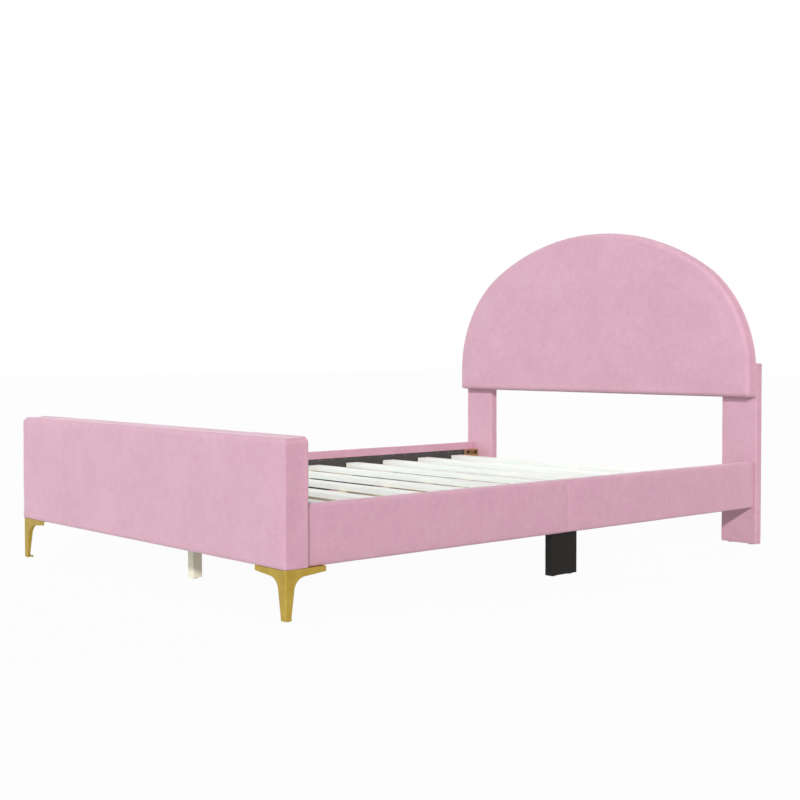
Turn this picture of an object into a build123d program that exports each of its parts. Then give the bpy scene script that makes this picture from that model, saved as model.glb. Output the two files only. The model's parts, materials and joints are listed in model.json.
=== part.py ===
from build123d import *
import os

os.makedirs("parts", exist_ok=True)

# Upholstered platform bed for a full-size mattress. Sizes are in millimetres.
# X runs across the bed, Y from its foot to its head and Z up from the floor.
# The origin is on the floor, under the middle of the whole bed.

# Space between the boards for the mattress
inner_width = 1372
inner_length = 1915

# Heights that the whole frame follows
leg_height = 129
deck_drop = 50.5

# Velvet and lining cloth
cloth_thickness = 1.5

# Side rails, each in a foot half and a head half
rail_height = 158.5
rail_thickness = 27
rail_board_thickness = 18
rail_top_foam = 4
rail_edge_radius = 8
rail_back_radius = 3
rail_end_radius = 2
rail_top_wrap = 30
rail_bottom_wrap = 8
foot_rail_length = 966
seam_gap = 0.6

# Ledges on the rails and the slats that lie on them
ledge_width = 25
ledge_height = 30
ledge_end_gap = 5
ledge_screw_margin = 30
ledge_screw_count = 4
slat_count = 10
slat_width = 55
slat_thickness = 17.5
slat_edge_radius = 2
slat_end_gap = 4
first_slat_gap = 122
last_slat_gap = 76.5

# Footboard
footboard_height = 330
footboard_thickness = 74
footboard_overhang = 12
footboard_corner_radius = 17
footboard_edge_radius = 6
footboard_bottom_radius = 4
footboard_edge_foam = 8
footboard_board_thickness = 5
footboard_top_wrap = 60
footboard_side_wrap = 30
footboard_bottom_wrap = 10
batten_depth = 48
batten_height = 40
stile_width = 70
inner_stile_count = 3

# Headboard panel, a flat-bottomed board under a three-centred arch
headboard_overhang = 10
headboard_thickness = 45
headboard_bottom = 509
headboard_spring = 590
headboard_top = 1116
arch_haunch_share = 0.86
headboard_corner_radius = 12
headboard_front_radius = 15
headboard_back_radius = 5
headboard_edge_foam = 8
headboard_board_thickness = 18
headboard_back_wrap = 40

# Posts that carry the headboard panel
post_width = 145
post_thickness = 32
post_top = 627.5
post_edge_radius = 5

# Middle legs under the seams of the rails
mid_leg_width = 112
mid_leg_upright = 11.5
mid_leg_shelf = 14
mid_leg_counterbore = 5
mid_leg_bolt_offset = 35
mid_leg_edge_radius = 1.5

# Metal corner legs under the footboard
metal_leg_inset = 3
metal_leg_front_wing = 133
metal_leg_side_wing = 126
metal_leg_tip = 13.5
metal_leg_front_foot = 20
metal_leg_side_foot = 16.5
metal_leg_front_knee = 36
metal_leg_side_knee = 30.5
metal_leg_knee_drop = 22.5
metal_leg_sweep_radius = 36
metal_leg_sheet = 4
metal_leg_bend_radius = 3
metal_leg_lift = 2
metal_leg_flange_width = 48
metal_leg_flange_thickness = 3
metal_leg_plate = 18.5
metal_leg_plate_radius = 6
metal_leg_screw_line = 34

# Corner brackets between the rails and the boards at their ends
bracket_sheet = 2.5
bracket_height = 107
bracket_rail_wing = 55
bracket_end_wing = 27
bracket_bolt_margin = 12
bracket_bolt_reach = 35

# Centre beam, its legs and the crossbar at the head
beam_width = 30
beam_height = 45
beam_gap = 0.6
beam_edge_radius = 2
centre_leg_size = 30.5
centre_leg_edge_radius = 2
centre_leg_end_gap = 121
centre_leg_middle_offset = 35
crossbar_thickness = 32
crossbar_height = 60
crossbar_end_gap = 4
crossbar_bolt_margin = 20
crossbar_edge_radius = 2
cradle_sheet = 2.5
cradle_plate_width = 60
cradle_plate_drop = 10
cradle_length = 40
cradle_cheek_height = 25
cradle_screw_offset = 24
joiner_sheet = 2
joiner_length = 160
joiner_cheek_height = 30
joiner_screw_offset = 62

# Fasteners and glides
hole_clearance = 0.2
frame_bolt_radius = 4
frame_bolt_length = 20
frame_bolt_head_radius = 7.5
frame_bolt_head_height = 4
long_bolt_length = 44
headboard_bolt_margin_x = 40
headboard_bolt_margin_z = 30
tee_nut_flange_radius = 9.5
tee_nut_flange_thickness = 1.5
tee_nut_barrel_radius = 5.5
tee_nut_barrel_length = 10
wood_screw_radius = 2
wood_screw_length = 34
wood_screw_head_radius = 4
wood_screw_head_height = 2.5
stud_radius = 4
stud_length = 60
glide_radius = 9
glide_height = 3
glide_pin_radius = 1.2
glide_pin_length = 10
post_glide_margin = 30

# Places that follow from the sizes
foot_y = -(footboard_thickness + inner_length + post_thickness) / 2
footboard_back = foot_y + footboard_thickness
post_front = footboard_back + inner_length
head_y = post_front + post_thickness
panel_front = post_front - headboard_thickness
seam_y = footboard_back + foot_rail_length
rail_inner = inner_width / 2
rail_outer = rail_inner + rail_thickness
rail_bottom = leg_height
rail_top = rail_bottom + rail_height
deck = rail_top - deck_drop
slat_bottom = deck - slat_thickness
ledge_bottom = slat_bottom - ledge_height
ledge_edge = rail_inner - ledge_width
footboard_half = rail_outer + footboard_overhang
headboard_half = rail_outer + headboard_overhang
post_inner = headboard_half - post_width
bracket_top = rail_top - rail_top_wrap
bracket_bottom = bracket_top - bracket_height
beam_bottom = slat_bottom - beam_height
crossbar_front = post_front - crossbar_thickness
slat_half = rail_inner - slat_end_gap
slat_pitch = (inner_length - first_slat_gap - last_slat_gap - slat_width) / (slat_count - 1)
slat_starts = [footboard_back + first_slat_gap + slat_pitch * i for i in range(slat_count)]
metal_corner_x = footboard_half - metal_leg_inset
metal_corner_y = foot_y + metal_leg_inset
rail_halves = {
    "foot": (footboard_back, seam_y - seam_gap / 2),
    "head": (seam_y + seam_gap / 2, post_front),
}
ledge_halves = {
    "foot": (footboard_back + bracket_rail_wing + ledge_end_gap, rail_halves["foot"][1]),
    "head": (rail_halves["head"][0], post_front - bracket_rail_wing - ledge_end_gap),
}
centre_legs = {
    "foot": (footboard_back + centre_leg_end_gap, beam_bottom),
    "middle": (seam_y + centre_leg_middle_offset, beam_bottom - joiner_sheet),
    "head": (crossbar_front - centre_leg_end_gap, beam_bottom),
}


# Shapes that several pieces are made from
def block(x, y, z):
    """A box between two places along each axis."""
    size = (x[1] - x[0], y[1] - y[0], z[1] - z[0])
    centre = ((x[0] + x[1]) / 2, (y[0] + y[1]) / 2, (z[0] + z[1]) / 2)
    return Pos(*centre) * Box(*size)


def slab(face, y):
    """A face drawn in X and Z, given its thickness between two places along Y."""
    return extrude(Plane.XZ.offset(-y[1]) * face, y[1] - y[0])


def rod(start, direction, radius, length):
    """A round bar that runs from a place along a direction."""
    bar = Cylinder(radius, length, align=(Align.CENTER, Align.CENTER, Align.MIN))
    return Plane(origin=start, z_dir=direction) * bar


def softened(shape, corners, radius):
    """The shape with its corners rounded, where any radius is left for them."""
    return fillet(corners, radius) if radius > 0 else shape


def other_side(shape):
    """The same piece on the left-hand side of the bed."""
    return mirror(shape, about=Plane.YZ)


def both_sides(shapes):
    """Pieces of the right-hand side, followed by the same pieces on the left."""
    return shapes + [other_side(shape) for shape in shapes]


# Fasteners. A seat is the place where the head bears, with the way that the shank points.
def bolt(seat, direction, length):
    shank = rod(seat, direction, frame_bolt_radius, length)
    return shank + rod(seat, -direction, frame_bolt_head_radius, frame_bolt_head_height)


def bolt_hole(seat, direction, length, recess=0):
    """Hole for a bolt, with a recess for its head where the head is sunk."""
    hole = rod(seat, direction, frame_bolt_radius + hole_clearance, length + hole_clearance)
    if recess > 0:
        hole += rod(seat, -direction, frame_bolt_head_radius + hole_clearance, recess)
    return hole


def wood_screw(seat, direction, spare=0):
    shank = rod(seat, direction, wood_screw_radius + spare, wood_screw_length + spare)
    cone = Cone(
        wood_screw_head_radius + spare,
        wood_screw_radius + spare,
        wood_screw_head_height,
        align=(Align.CENTER, Align.CENTER, Align.MIN),
    )
    return shank + Plane(origin=seat, z_dir=direction) * cone


def tee_nut(seat, direction, spare=0):
    """Flange on the seat and barrel behind it. Spare room makes the hole that it sits in."""
    flange = rod(seat, direction, tee_nut_flange_radius + spare, tee_nut_flange_thickness)
    return flange + rod(seat, direction, tee_nut_barrel_radius + spare, tee_nut_barrel_length)


def along(start, end, count):
    """Evenly spaced places from the start to the end."""
    return [start + (end - start) * i / (count - 1) for i in range(count)]


def bracket_bolt_seats():
    """Bolts of the right-hand brackets at the footboard and at the post."""
    seats = []
    rail_face = rail_inner - bracket_sheet
    end_bolt_x = rail_inner - bracket_end_wing + bracket_bolt_margin
    for end, inward in ((footboard_back, 1), (post_front, -1)):
        for z in (bracket_bottom + bracket_bolt_margin, bracket_top - bracket_bolt_margin):
            rail_bolt_y = end + inward * bracket_bolt_reach
            end_face = end + inward * bracket_sheet
            seats.append((Vector(rail_face, rail_bolt_y, z), Vector(1, 0, 0)))
            seats.append((Vector(end_bolt_x, end_face, z), Vector(0, -inward, 0)))
    return seats


def mid_leg_bolt_seats():
    """Bolts of the right-hand middle leg, two in each half of the rail."""
    face = rail_inner - mid_leg_upright + mid_leg_counterbore
    span = ledge_bottom - rail_bottom
    heights = (rail_bottom + span / 3, rail_bottom + span * 2 / 3)
    places = (seam_y - mid_leg_bolt_offset, seam_y + mid_leg_bolt_offset)
    return [(Vector(face, y, z), Vector(1, 0, 0)) for y in places for z in heights]


def headboard_bolt_seats():
    """Bolts sunk in the back of the right-hand post, through it into the headboard panel."""
    seat_y = head_y - frame_bolt_head_height
    middle_x = (post_inner + headboard_half) / 2
    low = headboard_bottom + headboard_bolt_margin_z
    high = post_top - headboard_bolt_margin_z
    columns = (middle_x - headboard_bolt_margin_x, middle_x + headboard_bolt_margin_x)
    return [(Vector(x, seat_y, z), Vector(0, -1, 0)) for x in columns for z in (low, high)]


def crossbar_bolt_seats():
    """Bolts that hold the right-hand end of the crossbar to its post."""
    end = rail_inner - bracket_end_wing - crossbar_end_gap
    height = slat_bottom - crossbar_height / 2
    columns = (post_inner + crossbar_bolt_margin, end - crossbar_bolt_margin)
    return [(Vector(x, crossbar_front, height), Vector(0, 1, 0)) for x in columns]


def side_screw_seats():
    """Wood screws of the right-hand ledges, slat ends and metal leg."""
    seats = []
    ledge_screw_z = ledge_bottom + ledge_height / 4
    for start, end in ledge_halves.values():
        first = start + ledge_screw_margin
        for y in along(first, end - ledge_screw_margin, ledge_screw_count):
            seats.append((Vector(ledge_edge, y, ledge_screw_z), Vector(1, 0, 0)))
    slat_screw_x = (ledge_edge + slat_half) / 2
    for start in slat_starts:
        seats.append((Vector(slat_screw_x, start + slat_width / 2, deck), Vector(0, 0, -1)))
    flange_face = rail_bottom - metal_leg_flange_thickness
    line_y = metal_corner_y + metal_leg_screw_line
    for share in (1 / 3, 5 / 6):
        x = metal_corner_x - metal_leg_front_wing * share
        seats.append((Vector(x, line_y, flange_face), Vector(0, 0, 1)))
    line_x = rail_inner + cloth_thickness + rail_board_thickness / 2
    wing_end = metal_corner_y + metal_leg_side_wing
    for share in (1 / 4, 5 / 6):
        y = footboard_back + (wing_end - footboard_back) * share
        seats.append((Vector(line_x, y, flange_face), Vector(0, 0, 1)))
    return seats


def middle_screw_seats():
    """Wood screws on the bed's middle line, in the beam cradles and the beam joiner."""
    height = (slat_bottom + beam_bottom) / 2
    seats = []
    for x in (-cradle_screw_offset, cradle_screw_offset):
        seats.append((Vector(x, footboard_back + cradle_sheet, height), Vector(0, -1, 0)))
        seats.append((Vector(x, crossbar_front - cradle_sheet, height), Vector(0, 1, 0)))
    for y in (seam_y - joiner_screw_offset, seam_y + joiner_screw_offset):
        seats.append((Vector(0, y, beam_bottom - joiner_sheet), Vector(0, 0, 1)))
    return seats


def right_glide_places():
    """Floor places of the right-hand glides, under the post, middle leg and metal leg."""
    post_y = (post_front + head_y) / 2
    leg_x = rail_inner + (mid_leg_shelf - mid_leg_upright) / 2
    metal_offset = metal_leg_sheet + glide_radius + hole_clearance
    return [
        (post_inner + post_glide_margin, post_y),
        (headboard_half - post_glide_margin, post_y),
        (leg_x, seam_y - mid_leg_bolt_offset),
        (leg_x, seam_y + mid_leg_bolt_offset),
        (metal_corner_x - metal_offset, metal_corner_y + metal_offset),
    ]


def glide(x, y):
    disc = rod((x, y, 0), (0, 0, 1), glide_radius, glide_height)
    return disc + rod((x, y, glide_height), (0, 0, 1), glide_pin_radius, glide_pin_length)


def glide_hole(x, y):
    length = glide_pin_length + hole_clearance
    return rod((x, y, glide_height), (0, 0, 1), glide_pin_radius + hole_clearance, length)


def stud(y, leg_top, spare=0):
    start = (0, y, leg_top - stud_length / 2 - spare)
    return rod(start, (0, 0, 1), stud_radius + spare, stud_length + spare + spare)


def nut_seat(seat):
    """Where the nut of a headboard bolt bears, on the front of the panel's board."""
    board_front = post_front - cloth_thickness - headboard_board_thickness
    return Vector(seat.X, board_front, seat.Z)


def all_holes():
    """The hole of every fastener and glide pin, on both sides of the bed."""
    holes = [bolt_hole(*seat, frame_bolt_length) for seat in bracket_bolt_seats()]
    holes += [bolt_hole(*seat, long_bolt_length) for seat in crossbar_bolt_seats()]
    for seat in mid_leg_bolt_seats():
        holes.append(bolt_hole(*seat, frame_bolt_length, mid_leg_counterbore))
    for seat, direction in headboard_bolt_seats():
        holes.append(bolt_hole(seat, direction, long_bolt_length, frame_bolt_head_height))
        holes.append(tee_nut(nut_seat(seat), -direction, hole_clearance))
    holes += [wood_screw(*seat, hole_clearance) for seat in side_screw_seats()]
    holes += [glide_hole(*place) for place in right_glide_places()]
    holes = both_sides(holes)
    holes += [wood_screw(*seat, hole_clearance) for seat in middle_screw_seats()]
    for y, leg_top in centre_legs.values():
        holes += [stud(y, leg_top, hole_clearance), glide_hole(0, y)]
    return [(hole, hole.bounding_box()) for hole in holes]


holes = all_holes()


def drilled(piece):
    """The piece with the hole of every fastener that reaches it."""
    box = piece.bounding_box()
    for hole, reach in holes:
        near_x = reach.min.X < box.max.X and reach.max.X > box.min.X
        near_y = reach.min.Y < box.max.Y and reach.max.Y > box.min.Y
        near_z = reach.min.Z < box.max.Z and reach.max.Z > box.min.Z
        if near_x and near_y and near_z:
            piece = piece - hole
    return piece


# Headboard panel
def arch(inset):
    """Outline of the panel in X and Z, drawn in by the inset all round."""
    full_rise = headboard_top - headboard_spring
    if full_rise < headboard_half:
        haunch = full_rise * arch_haunch_share - inset
    else:
        haunch = full_rise / arch_haunch_share - inset
    half = headboard_half - inset
    rise = full_rise - inset
    top = headboard_top - inset
    bottom = headboard_bottom + inset
    reach = half - haunch
    crown = (reach**2 + rise**2 - haunch**2) / (2 * (rise - haunch))
    crown_centre = top - crown
    turn_share = crown / (crown - haunch)
    turn_x = reach * turn_share
    turn_z = crown_centre + (headboard_spring - crown_centre) * turn_share
    face = make_face([
        Line((-half, bottom), (half, bottom)),
        Line((half, bottom), (half, headboard_spring)),
        TangentArc((half, headboard_spring), (turn_x, turn_z), tangent=(0, 1)),
        ThreePointArc((turn_x, turn_z), (0, top), (-turn_x, turn_z)),
        TangentArc((-half, headboard_spring), (-turn_x, turn_z), tangent=(0, 1)),
        Line((-half, headboard_spring), (-half, bottom)),
    ])
    corners = face.vertices().group_by(Axis.Y)[0]
    return softened(face, corners, headboard_corner_radius - inset)


def panel(inset):
    """The panel's soft outer shape, drawn in by the inset all round."""
    body = slab(arch(inset), (panel_front + inset, post_front - inset))
    front = body.edges().group_by(Axis.Y)[0]
    body = softened(body, front, headboard_front_radius - inset)
    back = body.edges().group_by(Axis.Y)[-1]
    return softened(body, back, headboard_back_radius - inset)


def headboard_pieces():
    inner_back = post_front - cloth_thickness
    board_front = inner_back - headboard_board_thickness
    board = slab(arch(cloth_thickness + headboard_edge_foam), (board_front, inner_back))
    lining = slab(arch(headboard_back_wrap), (inner_back, post_front))
    padding = panel(cloth_thickness)
    return {
        "headboard_board": drilled(board),
        "headboard_foam": padding - board,
        "headboard_cover": drilled(panel(0) - padding - lining),
        "headboard_lining": drilled(lining),
    }


# Posts
def post(inset):
    """A right-hand post's outer shape, drawn in by the inset but for its foot."""
    x = (post_inner + inset, headboard_half - inset)
    y = (post_front + inset, head_y - inset)
    body = block(x, y, (glide_height, post_top - inset))
    edges = body.edges() - body.edges().group_by(Axis.Z)[0]
    return softened(body, edges, post_edge_radius - inset)


def post_pieces():
    board = post(cloth_thickness)
    return {"post_board": drilled(board), "post_cover": drilled(post(0) - board)}


# Footboard
def footboard(inset):
    """The footboard's soft outer shape, drawn in by the inset all round."""
    x = (inset - footboard_half, footboard_half - inset)
    y = (foot_y + inset, footboard_back - inset)
    z = (rail_bottom + inset, rail_bottom + footboard_height - inset)
    body = block(x, y, z)
    corners = body.edges().filter_by(Axis.Y).group_by(Axis.Z)[-1]
    body = softened(body, corners, footboard_corner_radius - inset)
    faces = body.edges().group_by(Axis.Y)
    outlines = (faces[0] + faces[-1]) - body.edges().group_by(Axis.Z)[0]
    body = softened(body, outlines, footboard_edge_radius - inset)
    bottom = body.edges().group_by(Axis.Z)[0]
    return softened(body, bottom, footboard_bottom_radius - inset)


def footboard_battens(half, y, z, room):
    """Top and bottom battens with upright stiles between them, within the room for them."""
    low = (z[0], z[0] + batten_height)
    high = (z[1] - batten_height, z[1])
    battens = [block((-half, half), y, low), block((-half, half), y, high)]
    last_centre = half - stile_width / 2
    for x in along(-last_centre, last_centre, inner_stile_count + 2):
        sides = (x - stile_width / 2, x + stile_width / 2)
        battens.append(block(sides, y, (low[1], high[0])))
    return [drilled(batten & room) for batten in battens]


def footboard_pieces():
    inner_back = footboard_back - cloth_thickness
    batten_front = inner_back - batten_depth
    board_front = batten_front - footboard_board_thickness
    half = footboard_half - cloth_thickness - footboard_edge_foam
    bottom = rail_bottom + cloth_thickness
    top = rail_bottom + footboard_height - cloth_thickness - footboard_edge_foam
    core = block((-half, half), (board_front, inner_back), (bottom, top))
    lining_half = footboard_half - footboard_side_wrap
    lining_z = (
        rail_bottom + footboard_bottom_wrap,
        rail_bottom + footboard_height - footboard_top_wrap,
    )
    lining = block((-lining_half, lining_half), (inner_back, footboard_back), lining_z)
    padding = footboard(cloth_thickness)
    battens = footboard_battens(half, (batten_front, inner_back), (bottom, top), padding)
    board = block((-half, half), (board_front, batten_front), (bottom, top))
    return {
        "footboard_front_board": board,
        "footboard_battens": Compound(battens),
        "footboard_foam": padding - core,
        "footboard_cover": drilled(footboard(0) - padding - lining),
        "footboard_lining": drilled(lining),
    }


# Side rails
def rail_section(inset):
    """Section of a right-hand rail in X and Z, drawn in by the inset all round."""
    width = rail_thickness - inset - inset
    height = rail_height - inset - inset
    centre = ((rail_inner + rail_outer) / 2, (rail_bottom + rail_top) / 2)
    face = Pos(*centre) * Rectangle(width, height)
    outer = face.vertices().group_by(Axis.X)[-1]
    face = softened(face, outer, rail_edge_radius - inset)
    inner = face.vertices().group_by(Axis.X)[0]
    return softened(face, inner, rail_back_radius - inset)


def rail_pieces(y):
    """The pieces of one half of the right-hand rail, between two places along Y."""
    inside = (y[0] + cloth_thickness, y[1] - cloth_thickness)
    board_x = (rail_inner + cloth_thickness, rail_inner + cloth_thickness + rail_board_thickness)
    board_z = (rail_bottom + cloth_thickness, rail_top - cloth_thickness - rail_top_foam)
    padding = slab(rail_section(cloth_thickness), inside)
    board = padding & block(board_x, inside, board_z)
    lining_x = (rail_inner, rail_inner + cloth_thickness)
    lining = block(lining_x, y, (rail_bottom + rail_bottom_wrap, rail_top - rail_top_wrap))
    shape = slab(rail_section(0), y)
    ends = shape.edges().group_by(Axis.Y)
    shape = softened(shape, ends[0] + ends[-1], rail_end_radius)
    return {
        "rail_board": drilled(board),
        "rail_foam": padding - board,
        "rail_cover": drilled(shape - padding - lining),
        "rail_lining": drilled(lining),
    }


def slat_ledge(y):
    """The batten on the inside of one half of the right-hand rail."""
    return drilled(block((ledge_edge, rail_inner), y, (ledge_bottom, slat_bottom)))


def slat(start):
    """A planed slat with eased long edges."""
    sides = (start, start + slat_width)
    plank = block((-slat_half, slat_half), sides, (slat_bottom, deck))
    return drilled(softened(plank, plank.edges().filter_by(Axis.X), slat_edge_radius))


# Legs
def mid_leg():
    """The right-hand middle leg: a board with a shelf under the rail and a tongue behind it."""
    y = (seam_y - mid_leg_width / 2, seam_y + mid_leg_width / 2)
    inner = rail_inner - mid_leg_upright
    leg = block((inner, rail_inner + mid_leg_shelf), y, (glide_height, rail_bottom))
    leg += block((inner, rail_inner), y, (rail_bottom, ledge_bottom))
    upright = leg.edges().filter_by(Axis.Z).group_by(Axis.X)
    return drilled(softened(leg, upright[0] + upright[-1], mid_leg_edge_radius))


def wing_outline(reach, foot, knee):
    """One wing of a metal leg, drawn from its corner out along the board above it."""
    knee_height = rail_bottom - metal_leg_knee_drop
    face = make_face(Polyline(
        (0, metal_leg_lift),
        (foot, metal_leg_lift),
        (knee, knee_height),
        (reach, rail_bottom - metal_leg_tip),
        (reach, rail_bottom),
        (0, rail_bottom),
        (0, metal_leg_lift),
    ))
    bend = face.vertices().sort_by_distance((knee, knee_height))[0]
    return fillet(bend, metal_leg_sweep_radius)


def metal_leg():
    """The right-hand corner leg: two swept wings, a flange on top and a plate at its foot."""
    x = metal_corner_x
    y = metal_corner_y
    wing = wing_outline(metal_leg_front_wing, metal_leg_front_foot, metal_leg_front_knee)
    front = slab(Pos(x, 0) * mirror(wing, about=Plane.YZ), (y, y + metal_leg_sheet))
    wing = wing_outline(metal_leg_side_wing, metal_leg_side_foot, metal_leg_side_knee)
    side = extrude(Plane.YZ.offset(x - metal_leg_sheet) * Pos(y, 0) * wing, metal_leg_sheet)
    flange_z = (rail_bottom - metal_leg_flange_thickness, rail_bottom)
    width = metal_leg_flange_width
    flange = block((x - metal_leg_front_wing, x), (y, y + width), flange_z)
    flange += block((x - width, x), (y, y + metal_leg_side_wing), flange_z)
    inner = metal_leg_sheet + metal_leg_plate
    plate_z = (glide_height, glide_height + metal_leg_flange_thickness)
    plate = block((x - inner, x - metal_leg_sheet), (y + metal_leg_sheet, y + inner), plate_z)
    free_corner = plate.edges().filter_by(Axis.Z).sort_by_distance((x - inner, y + inner, 0))[0]
    plate = fillet(free_corner, metal_leg_plate_radius)
    leg = front + side + flange + plate
    upright = leg.edges().filter_by(Axis.Z)
    corner = upright.sort_by_distance((x, y, rail_bottom / 2))[0]
    return drilled(fillet(corner, metal_leg_bend_radius))


def centre_leg(y, top):
    half = centre_leg_size / 2
    leg = block((-half, half), (y - half, y + half), (glide_height, top))
    return drilled(softened(leg, leg.edges().filter_by(Axis.Z), centre_leg_edge_radius))


# Hardware and the centre beam
def corner_bracket(end, inward):
    """The right-hand bracket at one end of the rail, seen inward along Y from that end."""
    z = (bracket_bottom, bracket_top)
    rail_y = sorted((end, end + inward * bracket_rail_wing))
    end_y = sorted((end, end + inward * bracket_sheet))
    bracket = block((rail_inner - bracket_sheet, rail_inner), rail_y, z)
    bracket += block((rail_inner - bracket_end_wing, rail_inner), end_y, z)
    return drilled(bracket)


def beam_cradle(end, inward):
    """Plate and open cradle that carry one end of the beam."""
    half = beam_width / 2
    outer = half + cradle_sheet
    plate_half = cradle_plate_width / 2
    plate_y = sorted((end, end + inward * cradle_sheet))
    cradle_y = sorted((end, end + inward * cradle_length))
    low = beam_bottom - cradle_sheet
    cheek_z = (low, beam_bottom + cradle_cheek_height)
    plate_z = (beam_bottom - cradle_plate_drop, slat_bottom)
    cradle = block((-plate_half, plate_half), plate_y, plate_z)
    cradle += block((-outer, outer), cradle_y, (low, beam_bottom))
    cradle += block((half, outer), cradle_y, cheek_z)
    cradle += block((-outer, -half), cradle_y, cheek_z)
    return drilled(cradle)


def beam_joiner():
    """Channel under the two halves of the beam, where they meet."""
    half = beam_width / 2
    outer = half + joiner_sheet
    y = (seam_y - joiner_length / 2, seam_y + joiner_length / 2)
    low = beam_bottom - joiner_sheet
    cheek_z = (low, beam_bottom + joiner_cheek_height)
    channel = block((-outer, outer), y, (low, beam_bottom))
    channel += block((half, outer), y, cheek_z)
    channel += block((-outer, -half), y, cheek_z)
    return drilled(channel)


def beam_half(start, end):
    half = beam_width / 2
    beam = block((-half, half), (start, end), (beam_bottom, slat_bottom))
    return drilled(softened(beam, beam.edges().filter_by(Axis.Y), beam_edge_radius))


def head_crossbar():
    half = rail_inner - bracket_end_wing - crossbar_end_gap
    z = (slat_bottom - crossbar_height, slat_bottom)
    bar = block((-half, half), (crossbar_front, post_front), z)
    return drilled(softened(bar, bar.edges().filter_by(Axis.X), crossbar_edge_radius))


def fastener_groups():
    """Identical fasteners, each kind as one group of separate solids."""
    frame_seats = bracket_bolt_seats() + mid_leg_bolt_seats()
    long_seats = headboard_bolt_seats() + crossbar_bolt_seats()
    frame_bolts = [bolt(*seat, frame_bolt_length) for seat in frame_seats]
    long_bolts = [bolt(*seat, long_bolt_length) for seat in long_seats]
    nuts = []
    for seat, direction in headboard_bolt_seats():
        nuts.append(tee_nut(nut_seat(seat), -direction) - bolt_hole(seat, direction, long_bolt_length))
    screws = both_sides([wood_screw(*seat) for seat in side_screw_seats()])
    screws += [wood_screw(*seat) for seat in middle_screw_seats()]
    glides = both_sides([glide(*place) for place in right_glide_places()])
    glides += [glide(0, y) for y, leg_top in centre_legs.values()]
    return {
        "frame_bolts": Compound(both_sides(frame_bolts)),
        "long_bolts": Compound(both_sides(long_bolts)),
        "tee_nuts": Compound(both_sides(nuts)),
        "wood_screws": Compound(screws),
        "floor_glides": Compound(glides),
        "leg_studs": Compound([stud(y, leg_top) for y, leg_top in centre_legs.values()]),
    }


def all_pieces():
    """Every piece of the bed under its name."""
    pieces = headboard_pieces() | footboard_pieces() | fastener_groups()
    right = post_pieces() | {"mid_leg": mid_leg(), "corner_leg": metal_leg()}
    foams = []
    linings = []
    for half, y in rail_halves.items():
        rail = rail_pieces(y)
        right[half + "_rail_board"] = rail["rail_board"]
        right[half + "_rail_cover"] = rail["rail_cover"]
        right[half + "_slat_ledge"] = slat_ledge(ledge_halves[half])
        foams.append(rail["rail_foam"])
        linings.append(rail["rail_lining"])
    for name, piece in right.items():
        pieces["right_" + name] = piece
        pieces["left_" + name] = other_side(piece)
    pieces["right_rail_foam"] = Compound(foams)
    pieces["left_rail_foam"] = Compound([other_side(foam) for foam in foams])
    pieces["rail_linings"] = Compound(both_sides(linings))
    pieces["foot_brackets"] = Compound(both_sides([corner_bracket(footboard_back, 1)]))
    pieces["head_brackets"] = Compound(both_sides([corner_bracket(post_front, -1)]))
    pieces["foot_beam_cradle"] = beam_cradle(footboard_back, 1)
    pieces["head_beam_cradle"] = beam_cradle(crossbar_front, -1)
    pieces["beam_joiner"] = beam_joiner()
    pieces["foot_centre_beam"] = beam_half(footboard_back + cradle_sheet, seam_y - beam_gap / 2)
    pieces["head_centre_beam"] = beam_half(seam_y + beam_gap / 2, crossbar_front - cradle_sheet)
    pieces["head_crossbar"] = head_crossbar()
    for place, (y, leg_top) in centre_legs.items():
        pieces[place + "_centre_leg"] = centre_leg(y, leg_top)
    for number, start in enumerate(slat_starts, 1):
        pieces[f"slat_{number:02d}"] = slat(start)
    return pieces


for name, piece in all_pieces().items():
    export_step(piece, f"parts/{name}.step")
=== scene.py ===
import json
import math

import bpy
import numpy as np
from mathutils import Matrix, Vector, noise


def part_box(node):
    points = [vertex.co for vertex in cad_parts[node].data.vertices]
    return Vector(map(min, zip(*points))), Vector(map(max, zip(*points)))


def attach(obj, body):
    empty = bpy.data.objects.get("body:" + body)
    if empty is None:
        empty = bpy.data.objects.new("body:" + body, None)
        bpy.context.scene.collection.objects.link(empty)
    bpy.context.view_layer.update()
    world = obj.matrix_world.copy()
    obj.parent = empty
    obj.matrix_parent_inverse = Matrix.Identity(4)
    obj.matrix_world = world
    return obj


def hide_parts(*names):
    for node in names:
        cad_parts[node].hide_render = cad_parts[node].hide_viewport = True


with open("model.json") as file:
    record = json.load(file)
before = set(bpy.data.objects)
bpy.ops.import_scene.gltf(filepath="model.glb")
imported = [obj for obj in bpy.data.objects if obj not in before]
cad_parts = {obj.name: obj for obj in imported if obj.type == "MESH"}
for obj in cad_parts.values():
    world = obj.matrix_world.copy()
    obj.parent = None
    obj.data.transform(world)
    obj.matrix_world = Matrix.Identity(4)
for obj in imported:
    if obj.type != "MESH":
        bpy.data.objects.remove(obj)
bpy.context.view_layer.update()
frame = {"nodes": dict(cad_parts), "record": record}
nodes = frame["nodes"]
X_AXIS, Y_AXIS, Z_AXIS = range(3)

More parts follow.
